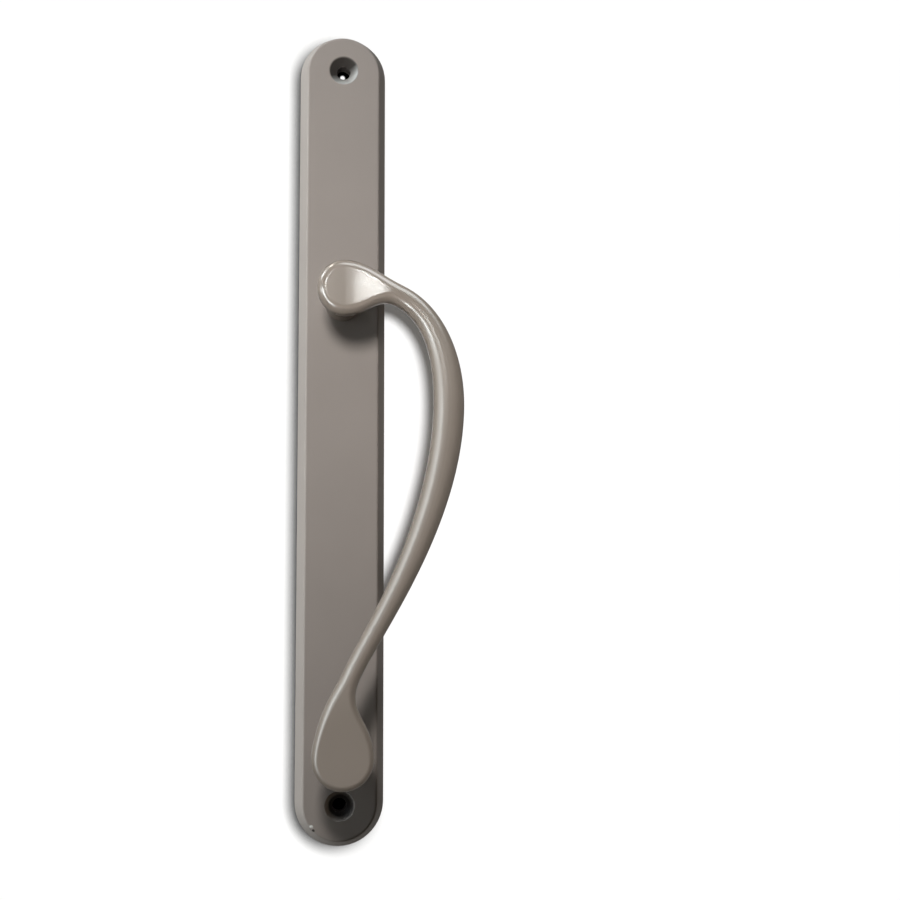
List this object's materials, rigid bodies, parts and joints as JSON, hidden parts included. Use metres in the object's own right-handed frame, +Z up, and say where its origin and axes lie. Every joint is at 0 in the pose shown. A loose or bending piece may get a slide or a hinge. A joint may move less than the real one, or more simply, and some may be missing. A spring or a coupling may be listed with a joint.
{
  "type": "sliding patio door handle",
  "caption": "Offset bow pull on a long round-ended plate: a satin nickel coloured casting, screwed to a sliding door's stile, with a bar curving out to one side for the hand.",
  "frame": {"origin": "midway between the two door-fixing holes, on the back plane that lies against the door", "axes": "+Z up along the plate, +Y into the door, -Y towards the person who pulls, +X towards the bow"},
  "size_m": [0.0633, 0.05, 0.3334],
  "materials": {
    "plate_finish": "satin nickel coloured finish on a zinc casting",
    "grip_finish": "semi-gloss nickel coloured finish on a zinc casting",
    "plated_steel": "zinc plated steel"
  },
  "bodies": {
    "root": {"backplate": "plate_finish", "pull_grip": "grip_finish", "grip_screws": "plated_steel", "lock_washers": "plated_steel"}
  },
  "joints": []
}
